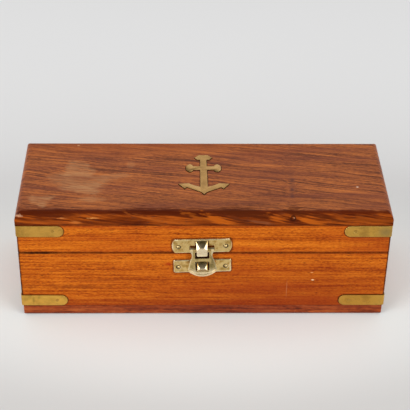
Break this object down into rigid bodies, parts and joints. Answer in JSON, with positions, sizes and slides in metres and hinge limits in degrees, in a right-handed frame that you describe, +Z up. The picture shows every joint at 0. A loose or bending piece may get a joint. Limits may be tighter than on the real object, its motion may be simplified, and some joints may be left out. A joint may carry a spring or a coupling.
{
  "type": "telescope box",
  "caption": "Hinged wooden case for a small hand telescope, with brass corner straps, a swinging hasp latch and an inlaid anchor on its lid.",
  "frame": {"origin": "middle of the underside", "axes": "+X along the length, to the right as seen from the front; +Y from the front to the hinges; +Z up"},
  "size_m": [0.1858, 0.0758, 0.0638],
  "materials": {
    "lid_board_wood": "waxed dark rosewood",
    "wall_wood": "waxed orange-brown rosewood",
    "base_board_wood": "waxed red-brown rosewood",
    "cradle_wood": "bare",
    "velvet": "velvet pile",
    "strap_brass": "dull, handled",
    "pin_brass": "dull, handled",
    "latch_brass": "antique, bright on its edges",
    "anchor_brass": "dull, handled",
    "hinge_brass": "satin",
    "screw_brass": "satin"
  },
  "bodies": {
    "base": {"bottom_board": "base_board_wood", "base_front_wall": "wall_wood", "base_back_wall": "wall_wood", "base_left_wall": "wall_wood", "base_right_wall": "wall_wood", "base_strap_front_left": "strap_brass", "base_strap_front_right": "strap_brass", "base_strap_back_left": "strap_brass", "base_strap_back_right": "strap_brass", "base_strap_pins": "pin_brass", "catch_plate": "latch_brass", "catch_plate_pins": "pin_brass", "base_floor_lining": "velvet", "base_front_lining": "velvet", "base_back_lining": "velvet", "base_left_lining": "velvet", "base_right_lining": "velvet", "objective_cradle": "cradle_wood", "objective_seat_lining": "velvet", "eyepiece_cradle": "cradle_wood", "eyepiece_seat_lining": "velvet", "left_hinge_base_leaf": "hinge_brass", "right_hinge_base_leaf": "hinge_brass", "hinge_base_screws": "screw_brass", "left_hinge_pin": "hinge_brass", "right_hinge_pin": "hinge_brass"},
    "lid": {"lid_top_board": "lid_board_wood", "anchor_inlay": "anchor_brass", "lid_front_wall": "wall_wood", "lid_back_wall": "wall_wood", "lid_left_wall": "wall_wood", "lid_right_wall": "wall_wood", "latch_plate": "latch_brass", "latch_plate_pins": "pin_brass", "lid_top_lining": "velvet", "lid_front_lining": "velvet", "lid_back_lining": "velvet", "lid_left_lining": "velvet", "lid_right_lining": "velvet", "lid_strap_front_left": "strap_brass", "lid_strap_front_right": "strap_brass", "lid_strap_back_left": "strap_brass", "lid_strap_back_right": "strap_brass", "lid_strap_pins": "pin_brass", "left_hinge_lid_leaf": "hinge_brass", "right_hinge_lid_leaf": "hinge_brass", "hinge_lid_screws": "screw_brass"},
    "hasp": {"hasp": "latch_brass"}
  },
  "joints": [
    {"name": "lid_hinge", "type": "hinge", "parent": "base", "child": "lid", "pos_m": [0, 0.03525, 0.04], "axis": [-1, 0, 0], "range_deg": [0, 180]},
    {"name": "hasp_hinge", "type": "hinge", "parent": "lid", "child": "hasp", "pos_m": [-0.00111, -0.0349, 0.0436], "axis": [-0.9995, 0, -0.0314], "range_deg": [-8.96, 160]}
  ]
}
